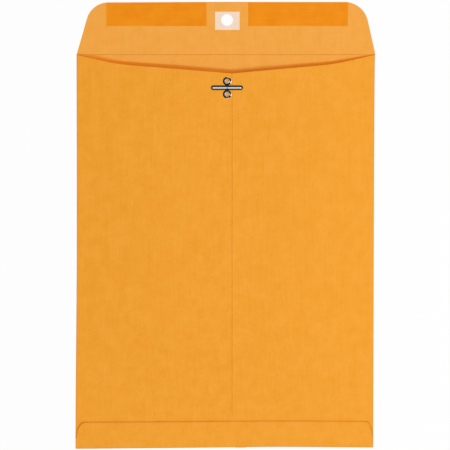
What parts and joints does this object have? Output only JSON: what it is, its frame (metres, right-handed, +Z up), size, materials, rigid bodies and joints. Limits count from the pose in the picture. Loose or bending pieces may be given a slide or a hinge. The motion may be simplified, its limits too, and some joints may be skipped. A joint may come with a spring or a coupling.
{
  "type": "clasp envelope",
  "caption": "Open-end kraft paper envelope with a gummed, punched closure flap and a two-prong metal clasp, lying open.",
  "frame": {"origin": "on the table, under the middle of the envelope with its closure flap laid out", "axes": "+X across the envelope to the right as seen from above, +Y along it towards the closure flap, +Z up from the address side to the clasp side"},
  "size_m": [0.2414, 0.36, 0.0061],
  "materials": {
    "kraft_outside": "matt, faint fibre",
    "kraft_inside": "matt, faint fibre",
    "flap_gum": "dried gum, satin",
    "seam_glue": "dried glue line",
    "patch_paper": "translucent, matt",
    "tinned_steel": "bright tinned"
  },
  "bodies": {
    "envelope": {"front_panel": "kraft_inside", "left_back_panel": "kraft_outside", "right_back_panel": "kraft_outside", "centre_seam_gum": "seam_glue", "bottom_fold": "kraft_outside", "bottom_flap": "kraft_outside", "bottom_flap_gum": "seam_glue", "clasp_base": "tinned_steel"},
    "flap": {"closure_flap": "kraft_inside", "reinforcement_patch": "patch_paper", "left_gum_strip": "flap_gum", "right_gum_strip": "flap_gum"},
    "clasp_left": {"left_prong": "tinned_steel"},
    "clasp_right": {"right_prong": "tinned_steel"}
  },
  "joints": [
    {"name": "flap_fold", "type": "hinge", "parent": "envelope", "child": "flap", "pos_m": [0, 0.1375, 0.00057], "axis": [1, 0, 0], "range_deg": [0, 160]},
    {"name": "left_prong_bend", "type": "hinge", "parent": "envelope", "child": "clasp_left", "pos_m": [0.0009, 0.1105, 0.00566], "axis": [0, 1, 0], "range_deg": [0, 90]},
    {"name": "right_prong_bend", "type": "hinge", "parent": "envelope", "child": "clasp_right", "pos_m": [0.0019, 0.1105, 0.00566], "axis": [0, -1, 0], "range_deg": [0, 90]}
  ]
}
